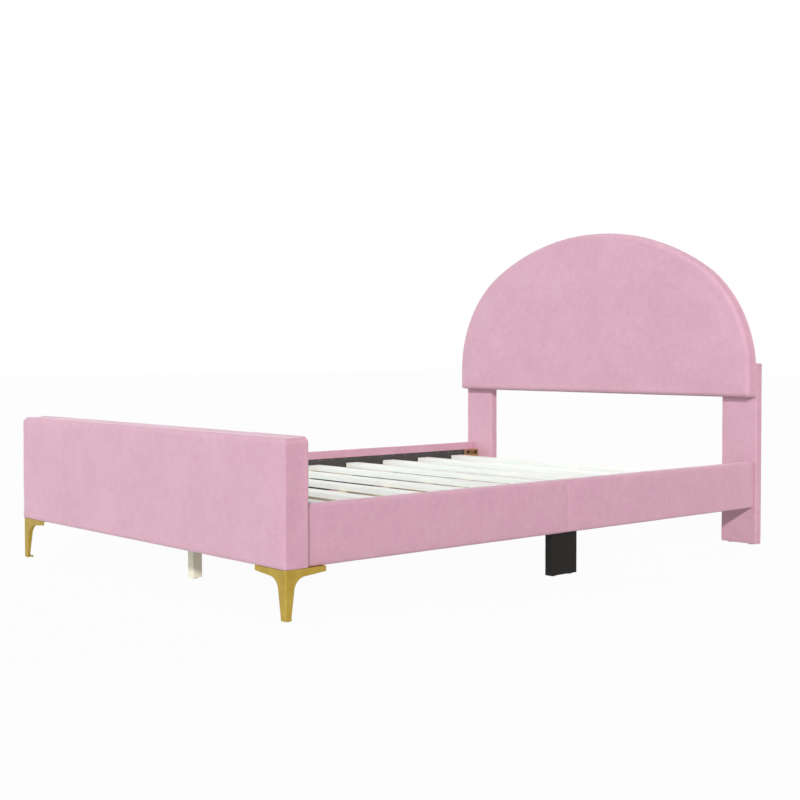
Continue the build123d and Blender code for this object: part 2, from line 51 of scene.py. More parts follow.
# Sizes in metres that the cloth follows and that the boxes of the nodes do not give. Edges are radii, and
# a wrap is how far the velvet is turned over the back or the inner face.
ARCH_SPRING = 0.590
ARCH_HAUNCH_SHARE = 0.86
PANEL_CORNER = 0.012
PANEL_FRONT_EDGE = 0.015
PANEL_BACK_EDGE = 0.005
PANEL_BACK_WRAP = 0.040
FOOTBOARD_EDGES = (0.0045, 0.006, 0.009)
FOOTBOARD_BOTTOM_EDGE = 0.004
FOOTBOARD_CORNER = 0.017
FOOTBOARD_CORNER_SHARES = (1.0, 0.82, 0.64, 0.5, 0.38)
FOOTBOARD_WRAPS = {"side": 0.030, "bottom": 0.010, "top": 0.060}
RAIL_OUTER_EDGE = 0.008
RAIL_INNER_EDGE = 0.003
RAIL_JOINT_EDGE = 0.004
RAIL_END_EDGE = 0.0025
RAIL_WRAPS = {"bottom": 0.008, "top": 0.030}
POST_EDGE = 0.005
POST_FOOT_EDGE = 0.0006
POST_FOOT_DROP = 0.0003

# The padding's wider roll over the front of the footboard's top: what it adds to the edge's depth and
# height, where it comes in under the top, and where it fades between front and back
FOOTBOARD_ROLL = (0.006, 0.010)
ROLL_UNDER_TOP = (0.12, 0.03)
ROLL_BEHIND_FRONT = 0.02
ROLL_BEFORE_BACK = 0.01

# Where the turned-in velvet ends at a lining: its last bend, its slope and the depth behind the lining
WRAP_TURN = 0.001
WRAP_SLOPE = 0.0005
RECESS = 0.004

# Linings: the gap to the velvet round them, how deep they lie, how thick and how uneven they are, and the
# scale of the unevenness in features for a metre
PANEL_LINING = {"gap": 0.0002, "depth": 0.0010, "thickness": 0.0006, "uneven": 0.0004, "scale": 18}
FLAT_LINING = {"gap": 0.0003, "depth": 0.0006, "thickness": 0.0004, "uneven": 0.0003, "scale": 15}
PANEL_LINING_SEED = 3.1

# The footboard's lining gives a little away from its edges, in waves along X. The waves have a rate in
# radians for a metre and a start in radians.
FOOTBOARD_SAG = 0.0002
SAG_MARGIN = (0.004, 0.05)
SAG_WAVES = (9.6, 0.2)

# Staples: half their width, half the straight part, the leg's depth, how proud they stand and their wire
STAPLE_HALF = 0.0062
STAPLE_CROWN = 0.0058
STAPLE_LEG = 0.0012
STAPLE_PROUD = 0.0003
STAPLE_WIRE = 0.00035

# Rows of staples: their distance from the lining's edge, from its corners and behind the face
PANEL_STAPLE_MARGIN = 0.006
FLAT_STAPLE_MARGIN = 0.005
STAPLE_ROW_END = 0.02
STAPLE_SEAT = 0.0005
RING_POINTS_TO_STAPLE = 5

# Dimples round the bolt heads in the backs of the posts, a slighter hollow round each, and mesh lines there
BACK_FACING = 0.9
DIMPLE_DEPTH = 0.0045
DIMPLE_EDGE = (0.0078, 0.0098)
HOLLOW_DEPTH = 0.0008
HOLLOW_EDGE = (0.009, 0.024)
DIMPLE_LINES = [x * 0.001 for x in (-22, -17, -13, -10.5, -9.2, -8.2, -7.6, -6, -3.5, 0)]
DIMPLE_LINES += [-x for x in DIMPLE_LINES[:-1]]
LEAST_BOLT_PITCH = 0.02

# Unevenness of the padding, with its depth and its features for a metre. It fades near the posts' feet.
POST_RIPPLE = (0.0006, 9.0)
POST_SEEDS = {"left": 4.0, "right": 5.0}
POST_CALM_HEIGHT = 0.05
COVER_RIPPLE = (0.0005, 11.0)
COVER_SEED = 20.0

# Meshes: the usual step, the least one and how near two values are the same
MESH_STEP = 0.012
LEAST_STEP = 0.0008
SAME = 0.0001

# The cloth simulation, and how far each cover may be pressed out
SIM_FRAMES = 20
SIM_PRESSURE = 4.0
PANEL_REACH = 0.0035
FOOTBOARD_REACH = 0.003
RAIL_REACH = 0.0018

# How far from the fastened edges the simulation holds each cover
PANEL_HELD = 0.006
FOOTBOARD_HELD = {"back": 0.012, "bottom": 0.004}
RAIL_HELD = {"inner": 0.012, "bottom": 0.006, "end": 0.002}

# The floor, which reaches far past the picture and looks nearly white, and light from the surroundings
FLOOR_REACH = 30.0
FLOOR_GREY = 0.55
FLOOR_WHITE_SHARE = 0.955
AMBIENT = 0.32

# Lamps: the direction to each, its strength, its softness in degrees and its colour
LAMPS = {
    "key_light": ((0.624, -0.675, 0.392), 2.2, 4.0, (1.0, 1.0, 1.0)),
    "front_light": ((-0.35, -0.85, 0.16), 1.1, 30.0, (0.78, 1.0, 0.98)),
    "side_light": ((1.0, 0.1, 0.3), 0.45, 40.0, (1.0, 0.93, 0.95)),
    "top_light": ((0.05, -0.15, 1.0), 0.36, 50.0, (1.0, 1.0, 1.0)),
    "back_light": ((-0.45, 0.85, 0.35), 1.15, 40.0, (1.0, 1.0, 1.0)),
}

# The camera: its place, how far it looks down and is turned in degrees, its lens and its shift
CAMERA_PLACE = (3.4439, -2.9671, 0.6746)
CAMERA_DOWN = 1.987
CAMERA_TURN = 47.754
CAMERA_LENS = 61.11
CAMERA_SHIFT = (-0.0492, -0.0040)


# Materials
class Look:
    """A node material, with short calls for the nodes that it is made of."""

    def __init__(self, name, roughness=0.5, metallic=0.0):
        self.material = bpy.data.materials.new(name)
        self.material.use_nodes = True
        self.tree = self.material.node_tree
        self.shader = self.tree.nodes["Principled BSDF"]
        self.shader.inputs["Roughness"].default_value = roughness
        self.shader.inputs["Metallic"].default_value = metallic
        self.place = self.tree.nodes.new("ShaderNodeTexCoord").outputs["Object"]

    def put(self, value, socket):
        """Links an output to an input, or sets the input to a constant."""
        if isinstance(value, bpy.types.NodeSocket):
            self.tree.links.new(value, socket)
        else:
            socket.default_value = value

    def stretched(self, scale):
        """Object coordinates, scaled along each axis."""
        node = self.tree.nodes.new("ShaderNodeMapping")
        node.inputs["Scale"].default_value = scale
        self.put(self.place, node.inputs["Vector"])
        return node.outputs["Vector"]

    def noise(self, scale, stretch=None, detail=2.0, roughness=0.5, distortion=0.0):
        """Cloudy variation with this many features in a metre."""
        node = self.tree.nodes.new("ShaderNodeTexNoise")
        self.put(self.stretched(stretch) if stretch else self.place, node.inputs["Vector"])
        node.inputs["Scale"].default_value = scale
        node.inputs["Detail"].default_value = detail
        node.inputs["Roughness"].default_value = roughness
        node.inputs["Distortion"].default_value = distortion
        return node.outputs["Fac"]

    def cells(self, scale, randomness=1.0):
        """Distance to scattered points, for foam cells, dots and specks."""
        node = self.tree.nodes.new("ShaderNodeTexVoronoi")
        self.put(self.place, node.inputs["Vector"])
        node.inputs["Scale"].default_value = scale
        node.inputs["Randomness"].default_value = randomness
        return node.outputs["Distance"]

    def sum(self, *parts):
        """Weighted sum of pairs of an output and its weight."""
        total = None
        for value, weight in parts:
            node = self.tree.nodes.new("ShaderNodeMath")
            node.operation = "MULTIPLY_ADD"
            self.put(value, node.inputs[0])
            node.inputs[1].default_value = weight
            self.put(0.0 if total is None else total, node.inputs[2])
            total = node.outputs[0]
        return total

    def ramp(self, value, *stops):
        """Colours or greys at places along a value."""
        node = self.tree.nodes.new("ShaderNodeValToRGB")
        elements = node.color_ramp.elements
        while len(elements) < len(stops):
            elements.new(0.5)
        for element, (place, colour) in zip(elements, stops):
            element.position = place
            element.color = colour if len(colour) == 4 else (*colour, 1.0)
        self.put(value, node.inputs["Fac"])
        return node.outputs["Color"]

    def bump(self, height, strength, distance, under=None):
        """Fine relief over the shape, on top of another relief where one is given."""
        node = self.tree.nodes.new("ShaderNodeBump")
        node.inputs["Strength"].default_value = strength
        node.inputs["Distance"].default_value = distance
        self.put(height, node.inputs["Height"])
        if under is not None:
            self.put(under, node.inputs["Normal"])
        return node.outputs["Normal"]

    def soft_edges(self, radius):
        """Shades sharp edges as if they had this radius."""
        node = self.tree.nodes.new("ShaderNodeBevel")
        node.inputs["Radius"].default_value = radius
        return node.outputs["Normal"]

    def finish(self, colour=None, roughness=None, normal=None, **constants):
        """Fills the shader's sockets. The constants are set on the sockets themselves."""
        for value, name in ((colour, "Base Color"), (roughness, "Roughness"), (normal, "Normal")):
            if value is not None:
                self.put(value, self.shader.inputs[name])
        for name, value in constants.items():
            self.shader.inputs[name.replace("_", " ")].default_value = value
        return self.material


def grey(value):
    return (value, value, value, 1.0)


def paint(red, green, blue):
    """A colour given as it looks on a screen, from 0 to 255, as Blender's linear values."""
    linear = []
    for part in (red, green, blue):
        share = part / 255
        linear.append(share / 12.92 if share <= 0.04045 else ((share + 0.055) / 1.055) ** 2.4)
    return (*linear, 1.0)


def velvet_look():
    """Short-pile velvet: a clouded nap, brushed upright streaks and a fine pile."""
    look = Look("velvet", roughness=0.9)
    clouds = look.noise(8.0, detail=4.0, roughness=0.6, distortion=0.4)
    patches = look.noise(46.0, detail=3.0, roughness=0.6)
    specks = look.noise(150.0, detail=3.0, roughness=0.65)
    streaks = look.noise(170.0, stretch=(1.0, 1.0, 0.14), detail=3.0, roughness=0.6)
    weft = look.noise(190.0, stretch=(0.14, 0.14, 1.0), detail=2.0)
    pile = look.noise(1500.0, detail=2.0, roughness=0.7)
    nap = look.sum((clouds, 0.3), (patches, 0.25), (specks, 0.25), (streaks, 0.12), (weft, 0.08))
    colour = look.ramp(
        nap,
        (0.30, paint(197, 148, 167)),
        (0.50, paint(206, 159, 176)),
        (0.70, paint(215, 170, 186)),
    )
    brushed = look.bump(look.sum((patches, 0.6), (streaks, 0.4)), 0.22, 0.004)
    normal = look.bump(pile, 0.35, 0.0006, brushed)
    roughness = look.ramp(nap, (0.3, grey(0.95)), (0.7, grey(0.82)))
    return look.finish(
        colour,
        roughness,
        normal,
        Sheen_Weight=0.42,
        Sheen_Roughness=0.5,
        Sheen_Tint=paint(255, 241, 245),
        Specular_IOR_Level=0.1,
    )


def lining_look():
    """Thin black non-woven cloth with its embossed dots and matted fibres."""
    look = Look("lining", roughness=0.85)
    fibres = look.noise(420.0, stretch=(1.0, 1.0, 0.5), detail=4.0, roughness=0.75, distortion=1.5)
    dots = look.cells(520.0, randomness=0.15)
    clouds = look.noise(14.0, detail=3.0)
    shade = look.sum((fibres, 0.5), (clouds, 0.5))
    colour = look.ramp(shade, (0.3, paint(50, 48, 47)), (0.7, paint(78, 75, 73)))
    relief = look.bump(look.ramp(dots, (0.15, grey(0.0)), (0.4, grey(1.0))), 0.35, 0.0004)
    normal = look.bump(fibres, 0.3, 0.0005, relief)
    return look.finish(colour, None, normal, Sheen_Weight=0.15, Specular_IOR_Level=0.3)


def wood_look(name, dark, pale, along, roughness, grain=1.0):
    """Planed wood with its grain along one axis, fine pores and faint growth bands."""
    look = Look(name, roughness=roughness)
    fine = [170.0, 170.0, 170.0]
    wide = [22.0, 22.0, 22.0]
    fine[along] = 4.0
    wide[along] = 1.1
    bands = look.noise(1.0, stretch=wide, detail=4.0, roughness=0.6, distortion=1.2)
    pores = look.noise(1.0, stretch=fine, detail=4.0, roughness=0.7)
    speck = look.noise(700.0, detail=2.0)
    shade = look.sum((bands, 0.55), (pores, 0.35), (speck, 0.1))
    colour = look.ramp(shade, (0.32, dark), (0.66, pale))
    rough = look.ramp(pores, (0.3, grey(roughness + 0.12)), (0.7, grey(roughness - 0.06)))
    normal = look.bump(pores, 0.25 * grain, 0.0005)
    return look.finish(colour, rough, normal, Specular_IOR_Level=0.35)


def board_look():
    """Pressed fibreboard: a fine felt of short fibres with darker specks."""
    look = Look("board", roughness=0.8)
    felt = look.noise(260.0, detail=5.0, roughness=0.75)
    specks = look.cells(300.0)
    shade = look.sum((felt, 0.8), (specks, 0.4))
    colour = look.ramp(shade, (0.3, paint(150, 118, 82)), (0.8, paint(196, 164, 122)))
    return look.finish(colour, None, look.bump(felt, 0.4, 0.0006), Specular_IOR_Level=0.25)


def foam_look():
    """Open-cell upholstery foam."""
    look = Look("foam", roughness=0.95)
    cells = look.cells(900.0)
    clouds = look.noise(20.0, detail=3.0)
    colour = look.ramp(clouds, (0.3, paint(228, 217, 186)), (0.7, paint(242, 234, 210)))
    return look.finish(colour, None, look.bump(cells, 0.5, 0.0008), Specular_IOR_Level=0.2)


def gold_look():
    """Satin gold plating on sheet steel, finely brushed, with slight clouding."""
    look = Look("gold_steel", roughness=0.4, metallic=1.0)
    brushed = look.noise(900.0, stretch=(1.0, 1.0, 0.03), detail=3.0, roughness=0.7)
    clouds = look.noise(30.0, detail=4.0, roughness=0.6)
    spots = look.noise(520.0, detail=2.0)
    shade = look.sum((clouds, 0.7), (spots, 0.3))
    colour = look.ramp(shade, (0.3, paint(170, 141, 58)), (0.7, paint(190, 163, 80)))
    rough = look.ramp(look.sum((clouds, 0.6), (brushed, 0.4)), (0.3, grey(0.3)), (0.7, grey(0.42)))
    return look.finish(colour, rough, look.bump(brushed, 0.12, 0.0003, look.soft_edges(0.0015)))


def zinc_look(name, dark, pale):
    """Plated steel with the blotches of its passivation and a faint scuff."""
    look = Look(name, roughness=0.42, metallic=0.9)
    blotches = look.noise(70.0, detail=4.0, roughness=0.65, distortion=0.8)
    scuffs = look.noise(380.0, stretch=(1.0, 0.15, 1.0), detail=3.0)
    shade = look.sum((blotches, 0.75), (scuffs, 0.25))
    colour = look.ramp(shade, (0.3, dark), (0.7, pale))
    rough = look.ramp(shade, (0.3, grey(0.5)), (0.7, grey(0.32)))
    return look.finish(colour, rough, look.bump(scuffs, 0.15, 0.0003))


def black_wood_look():
    """Black satin paint that lets a little of the wood's grain through."""
    look = Look("black_wood", roughness=0.5)
    pores = look.noise(1.0, stretch=(240.0, 240.0, 7.0), detail=4.0, roughness=0.7)
    clouds = look.noise(16.0, detail=3.0)
    spray = look.noise(900.0, detail=2.0)
    shade = look.sum((pores, 0.4), (clouds, 0.4), (spray, 0.2))
    colour = look.ramp(shade, (0.3, paint(18, 17, 15)), (0.7, paint(30, 28, 25)))
    rough = look.ramp(clouds, (0.3, grey(0.5)), (0.7, grey(0.62)))
    normal = look.bump(look.sum((pores, 0.7), (spray, 0.3)), 0.25, 0.0005, look.soft_edges(0.0015))
    return look.finish(colour, rough, normal, Specular_IOR_Level=0.16)


def plastic_look():
    """Pale moulded plastic with a fine spark-eroded grain."""
    look = Look("glide_plastic", roughness=0.45)
    grain = look.noise(1100.0, detail=2.0)
    clouds = look.noise(60.0, detail=2.0)
    colour = look.ramp(clouds, (0.3, paint(214, 213, 208)), (0.7, paint(229, 228, 224)))
    return look.finish(colour, None, look.bump(grain, 0.2, 0.0002))


velvet = velvet_look()
lining = lining_look()
slat_wood = wood_look("slat_wood", paint(235, 237, 230), paint(249, 250, 246), X_AXIS, 0.62, grain=0.5)
pine_legs = wood_look("pine_legs", paint(230, 217, 189), paint(248, 240, 220), Z_AXIS, 0.6)
pine_beams = wood_look("pine_beams", paint(196, 178, 142), paint(226, 213, 184), Y_AXIS, 0.65)
pine_cross = wood_look("pine_cross", paint(196, 178, 142), paint(226, 213, 184), X_AXIS, 0.65)
zinc_steel = zinc_look("zinc_steel", paint(168, 136, 98), paint(214, 184, 142))
bolt_steel = zinc_look("bolt_steel", paint(62, 58, 54), paint(104, 98, 92))
staple_steel = zinc_look("staple_steel", paint(150, 150, 150), paint(196, 196, 198))
looks = {
    "velvet": velvet,
    "lining": lining,
    "foam": foam_look(),
    "board": board_look(),
    "pine": pine_beams,
    "slat_wood": slat_wood,
    "black_wood": black_wood_look(),
    "gold_steel": gold_look(),
    "zinc_steel": zinc_steel,
    "glide_plastic": plastic_look(),
}
special_looks = {
    "foot_centre_leg": pine_legs,
    "middle_centre_leg": pine_legs,
    "head_centre_leg": pine_legs,
    "head_crossbar": pine_cross,
    "footboard_battens": pine_cross,
    "frame_bolts": bolt_steel,
    "long_bolts": bolt_steel,
}
for part in frame["record"]["subparts"]:
    node = nodes[part["node"]]
    look = special_looks.get(part["node"], looks[part["material_slot"]])
    for material_slot in node.material_slots:
        material_slot.material = look


# Meshes
def make_piece(name, points, faces, look, slot, *replaced):
    """A new piece from its points and faces, smooth, riding on the bed."""
    mesh = bpy.data.meshes.new(name)
    mesh.from_pydata([tuple(map(float, point)) for point in points], [], faces)
    mesh.validate()
    mesh.update()
    mesh.polygons.foreach_set("use_smooth", [True] * len(mesh.polygons))
    mesh.materials.append(look)
    piece = bpy.data.objects.new(name, mesh)
    bpy.context.scene.collection.objects.link(piece)
    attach(piece, "root")
    if replaced:
        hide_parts(*replaced)
    return piece


def vertex_places(mesh):
    """The places of a mesh's points, a row for each."""
    flat = np.empty(len(mesh.vertices) * 3)
    mesh.vertices.foreach_get("co", flat)
    return flat.reshape(-1, 3)


def box_of(node_name):
    low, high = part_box(node_name)
    return np.array(low), np.array(high)


def places(low, high, low_edge, high_edge, extra):
    """Places along an axis: at even angles over each end's rounded edge and about a step apart between."""
    shares = [1 - math.tan(math.radians(angle)) for angle in (45, 36, 27, 18, 9)]
    start = [low + low_edge * share for share in shares]
    end = [high - high_edge * share for share in reversed(shares)]
    inner_low, inner_high = low + low_edge, high - high_edge
    count = max(1, round((inner_high - inner_low) / MESH_STEP))
    middle = [inner_low + (inner_high - inner_low) * i / count for i in range(count + 1)]
    kept = [p for p in middle if all(abs(p - e) > LEAST_STEP for e in extra)]
    inside = [e for e in extra if low < e < high]
    return np.array(sorted(start + kept + inside + end))


def shell(axes):
    """Points and outward quads of a box's surface, on a lattice of places along each axis."""
    index = {}
    points = []
    faces = []

    def corner(key):
        if key not in index:
            index[key] = len(points)
            points.append([axes[a][key[a]] for a in range(3)])
        return index[key]

    for axis in range(3):
        u, v = (axis + 1) % 3, (axis + 2) % 3
        for end in (0, len(axes[axis]) - 1):
            for i in range(len(axes[u]) - 1):
                for j in range(len(axes[v]) - 1):
                    quad = []
                    for step_u, step_v in ((0, 0), (1, 0), (1, 1), (0, 1)):
                        key = [0, 0, 0]
                        key[axis] = end
                        key[u] = i + step_u
                        key[v] = j + step_v
                        quad.append(corner(tuple(key)))
                    faces.append(quad if end else quad[::-1])
    return np.array(points), faces


def wrap_lines(low_line, high_line):
    """Places on an axis where the mesh bends from the turned-in velvet to the recess of a lining."""
    lines = []
    for line, sign in ((low_line, -1), (high_line, 1)):
        lines += [line + sign * WRAP_TURN, line, line - sign * WRAP_SLOPE]
    return lines


def rounded(points, low, high, radii):
    """The box's points drawn onto its rounded form, with the way that each one faces."""
    upper = points > (low + high) / 2
    r = radii(upper)
    inner = np.clip(points, low + r, high - r)
    way = (points - inner) / r
    way /= np.linalg.norm(way, axis=1)[:, None]
    facing = way / r
    facing /= np.linalg.norm(facing, axis=1)[:, None]
    return inner + r * way, facing


def draw_in_corners(points, low, high, radius):
    """Rounds the two upper corners of the outline in X and Z, with what lies inside them."""
    for middle, sign in ((low[X_AXIS] + radius, -1), (high[X_AXIS] - radius, 1)):
        across = (points[:, X_AXIS] - middle) * sign
        above = points[:, Z_AXIS] - (high[Z_AXIS] - radius)
        inside = (across > 0) & (above > 0)
        share = np.ones(len(points))
        share[inside] = np.maximum(across, above)[inside] / np.hypot(across, above)[inside]
        points[:, X_AXIS] = np.where(inside, middle + sign * across * share, points[:, X_AXIS])
        points[:, Z_AXIS] = np.where(inside, high[Z_AXIS] - radius + above * share, points[:, Z_AXIS])


def ripple(points, facing, depth, scale, seed):
    """Slight unevenness of padding under stretched cloth."""
    shift = Vector((seed, seed * 1.7, seed * 0.6))
    offsets = [noise.noise(Vector(p) * scale + shift) for p in points]
    return points + facing * (depth * np.array(offsets))[:, None]


def eased(value, start, end):
    """From 0 at the start to 1 at the end, smoothly."""
    share = np.clip((value - start) / (end - start), 0, 1)
    return share * share * (3 - 2 * share)


def tube(path, radius, sides=6):
    """Points and faces of a closed round bar along a few points."""
    path = [Vector(p) for p in path]
    points = []
    faces = []
    for i, centre in enumerate(path):
        before, after = path[max(i - 1, 0)], path[min(i + 1, len(path) - 1)]
        direction = (after - before).normalized()
        side = direction.orthogonal().normalized()
        other = direction.cross(side)
        for j in range(sides):
            angle = 2 * math.pi * j / sides
            rim = side * (radius * math.cos(angle)) + other * (radius * math.sin(angle))
            points.append(centre + rim)
    for i in range(len(path) - 1):
        for j in range(sides):
            a, b = i * sides + j, i * sides + (j + 1) % sides
            faces.append((a, b, b + sides, a + sides))
    faces.append(tuple(reversed(range(sides))))
    last = (len(path) - 1) * sides
    faces.append(tuple(range(last, last + sides)))
    return points, faces


def staples(name, seats):
    """Staples on a lining's edge: for each its seat, the way along it and the way out of the cloth."""
    all_points = []
    all_faces = []
    for seat, along, out in seats:
        seat, along, out = Vector(seat), Vector(along), Vector(out)
        path = [
            seat - along * STAPLE_HALF - out * STAPLE_LEG,
            seat - along * STAPLE_CROWN + out * STAPLE_PROUD,
            seat + along * STAPLE_CROWN + out * STAPLE_PROUD,
            seat + along * STAPLE_HALF - out * STAPLE_LEG,
        ]
        points, faces = tube(path, STAPLE_WIRE)
        base = len(all_points)
        all_points += points
        all_faces += [tuple(base + i for i in face) for face in faces]
    return make_piece(name, all_points, all_faces, staple_steel, "zinc_steel")


# Covers that the simulation presses out, each with its held points and its reach
puffed = []


# Headboard panel
panel_low, panel_high = box_of("headboard_cover")
panel_half = panel_high[X_AXIS]

# Steps along the parts of the arch's outline, and how many of a haunch's are in the top of its grid
RING_COUNTS = {"bottom": 118, "corner": 4, "upright": 10, "haunch": 44, "crown": 90}
TOP_HAUNCH = 16

# Rings on the flat front and back by their insets, and on the rim by their depth behind the front
FRONT_RINGS = (0.040, 0.032, 0.025, 0.019)
RIM_RINGS = (0.022, 0.029, 0.035)
BACK_RINGS = (0.012, 0.024, 0.034)
SMOOTHING_ROUNDS = 80


def arc(centre, radius, start, end, count):
    """Points along an arc, without its last one. Angles are in radians."""
    angles = start + (end - start) * np.arange(count) / count
    return np.stack([centre[0] + radius * np.cos(angles), centre[1] + radius * np.sin(angles)], axis=1)


def segment(start, end, count):
    share = (np.arange(count) / count)[:, None]
    return np.array(start) + (np.array(end) - np.array(start)) * share


def arch_ring(inset):
    """The panel's outline in X and Z, drawn in by the inset, from the left end of its bottom."""
    bottom, top = panel_low[Z_AXIS], panel_high[Z_AXIS]
    rise = top - ARCH_SPRING
    haunch = ARCH_HAUNCH_SHARE * rise
    reach = panel_half - haunch
    crown = (reach**2 + rise**2 - haunch**2) / (2 * (rise - haunch))
    crown_centre = (0.0, top - crown)
    turn = math.atan2(ARCH_SPRING - crown_centre[1], reach)
    half = panel_half - inset
    low = bottom + inset
    corner = max(PANEL_CORNER - inset, PANEL_CORNER / 2)
    n = RING_COUNTS
    right = math.pi / 2
    return np.concatenate([
        segment((-half + corner, low), (half - corner, low), n["bottom"]),
        arc((half - corner, low + corner), corner, -right, 0, n["corner"]),
        segment((half, low + corner), (half, ARCH_SPRING), n["upright"]),
        arc((reach, ARCH_SPRING), haunch - inset, 0, turn, n["haunch"]),
        arc(crown_centre, crown - inset, turn, math.pi - turn, n["crown"]),
        arc((-reach, ARCH_SPRING), haunch - inset, math.pi - turn, math.pi, n["haunch"]),
        segment((-half, ARCH_SPRING), (-half, low + corner), n["upright"]),
        arc((-half + corner, low + corner), corner, math.pi, math.pi + right, n["corner"]),
    ])


ring_size = len(arch_ring(0.0))
across = RING_COUNTS["bottom"] + RING_COUNTS["corner"]
upward = RING_COUNTS["corner"] // 2 + RING_COUNTS["upright"] + RING_COUNTS["haunch"] - TOP_HAUNCH
first_corner = ring_size - RING_COUNTS["corner"] // 2


def patch_keys():
    """For each place of the grid that fills a ring, the ring's own point on its border."""
    border = {}
    for i in range(across + 1):
        border[i, 0] = (first_corner + i) % ring_size
        border[i, upward] = (first_corner + across + upward + across - i) % ring_size
    for j in range(upward + 1):
        border[across, j] = (first_corner + across + j) % ring_size
        border[0, j] = (first_corner - j) % ring_size
    return border


def fill(ring):
    """A grid of even quads that fills the ring, its border on the ring's points."""
    border = patch_keys()
    u = (np.arange(across + 1) / across)[:, None, None]
    v = (np.arange(upward + 1) / upward)[None, :, None]
    bottom = np.array([ring[border[i, 0]] for i in range(across + 1)])[:, None, :]
    top = np.array([ring[border[i, upward]] for i in range(across + 1)])[:, None, :]
    left = np.array([ring[border[0, j]] for j in range(upward + 1)])[None, :, :]
    right = np.array([ring[border[across, j]] for j in range(upward + 1)])[None, :, :]
    corners = (
        (1 - u) * (1 - v) * bottom[0, 0]
        + u * (1 - v) * bottom[-1, 0]
        + (1 - u) * v * top[0, 0]
        + u * v * top[-1, 0]
    )
    grid = (1 - v) * bottom + v * top + (1 - u) * left + u * right - corners
    for _ in range(SMOOTHING_ROUNDS):
        grid[1:-1, 1:-1] = (grid[:-2, 1:-1] + grid[2:, 1:-1] + grid[1:-1, :-2] + grid[1:-1, 2:]) / 4
    return grid


def patch_faces(ring_base, inner_base, turned):
    """Quads of the grid. Its border uses the ring's points and its inside its own."""
    border = patch_keys()

    def key(i, j):
        if (i, j) in border:
            return ring_base + border[i, j]
        return inner_base + (i - 1) * (upward - 1) + (j - 1)

    faces = []
    for i in range(across):
        for j in range(upward):
            quad = (key(i, j), key(i + 1, j), key(i + 1, j + 1), key(i, j + 1))
            faces.append(quad[::-1] if turned else quad)
    return faces


def arch_solid(profile):
    """A closed form of rings of the arch, each with its inset and its place along Y, from the front."""
    points = []
    faces = []
    for inset, y in profile:
        ring = arch_ring(inset)
        points.append(np.stack([ring[:, 0], np.full(ring_size, y), ring[:, 1]], axis=1))
    for k in range(len(profile) - 1):
        for i in range(ring_size):
            a, b = k * ring_size + i, k * ring_size + (i + 1) % ring_size
            faces.append((a, a + ring_size, b + ring_size, b))
    for end, turned in ((0, False), (len(profile) - 1, True)):
        inset, y = profile[end]
        grid = fill(arch_ring(inset))[1:-1, 1:-1].reshape(-1, 2)
        inner_base = sum(len(group) for group in points)
        points.append(np.stack([grid[:, 0], np.full(len(grid), y), grid[:, 1]], axis=1))
        faces += patch_faces(end * ring_size, inner_base, turned)
    return np.concatenate(points), faces


def quarter_round(radius, count):
    """Insets and depths of a rounded edge at even angles, from the face to the side."""
    steps = []
    for i in range(count + 1):
        angle = math.pi / 2 * i / count
        steps.append((radius * (1 - math.sin(angle)), radius * (1 - math.cos(angle))))
    return steps


def panel_piece():
    front, back = panel_low[Y_AXIS], panel_high[Y_AXIS]
    wrap = PANEL_BACK_WRAP
    profile = [(inset, front) for inset in FRONT_RINGS]
    profile += [(inset, front + depth) for inset, depth in quarter_round(PANEL_FRONT_EDGE, 7)]
    profile += [(0.0, front + depth) for depth in RIM_RINGS]
    profile += [(inset, back - depth) for inset, depth in reversed(quarter_round(PANEL_BACK_EDGE, 4))]
    profile += [(inset, back) for inset in (*BACK_RINGS, wrap - WRAP_TURN)]
    profile += [(wrap, back - WRAP_TURN), (wrap + WRAP_SLOPE, back - RECESS)]
    points, faces = arch_solid(profile)
    piece = make_piece(
        "headboard_velvet", points, faces, velvet, "velvet", "headboard_cover", "headboard_foam"
    )
    held = np.flatnonzero(points[:, Y_AXIS] > back - PANEL_HELD)
    puffed.append((piece, held, PANEL_REACH))


panel_piece()


def panel_lining():
    back = panel_high[Y_AXIS]
    sizes = PANEL_LINING
    grid = fill(arch_ring(PANEL_BACK_WRAP + sizes["gap"])).reshape(-1, 2)
    count = upward + 1
    spots = [Vector((x * sizes["scale"], PANEL_LINING_SEED, z * sizes["scale"])) for x, z in grid]
    lift = np.array([noise.noise(spot) for spot in spots])
    y = back - sizes["depth"] + sizes["uneven"] * lift
    points = np.stack([grid[:, 0], y, grid[:, 1]], axis=1)
    faces = []
    for i in range(across):
        for j in range(upward):
            a = i * count + j
            faces.append((a, a + 1, a + count + 1, a + count))
    piece = make_piece(
        "headboard_lining_sheet", points, faces, lining, "lining", "headboard_lining"
    )
    solid = piece.modifiers.new("thickness", "SOLIDIFY")
    solid.thickness = sizes["thickness"]
    solid.offset = -1
    quads = points[np.array(faces)]
    crossed = np.cross(quads[:, 2] - quads[:, 0], quads[:, 3] - quads[:, 1])
    area = float(np.linalg.norm(crossed, axis=1).sum() / 2)
    seats = []
    edge = arch_ring(PANEL_BACK_WRAP + PANEL_STAPLE_MARGIN)
    for i in range(0, ring_size, RING_POINTS_TO_STAPLE):
        ahead = edge[(i + 1) % ring_size] - edge[i - 1]
        ahead /= np.linalg.norm(ahead)
        seat = (edge[i][0], back - sizes["thickness"], edge[i][1])
        seats.append((seat, (ahead[0], 0, ahead[1]), (0, 1, 0)))
    staples("headboard_staples", seats)


panel_lining()


# Posts
def bolt_places(low, high):
    """Middles of the bolt heads in the back of the post between these corners."""
    points = vertex_places(nodes["long_bolts"].data)
    head = points[points[:, Y_AXIS] > high[Y_AXIS] - SAME]
    head = head[(head[:, X_AXIS] > low[X_AXIS]) & (head[:, X_AXIS] < high[X_AXIS])]
    middles = []
    while len(head):
        near = np.linalg.norm(head - head[0], axis=1) < LEAST_BOLT_PITCH
        middles.append((head[near].min(axis=0) + head[near].max(axis=0)) / 2)
        head = head[~near]
    return middles


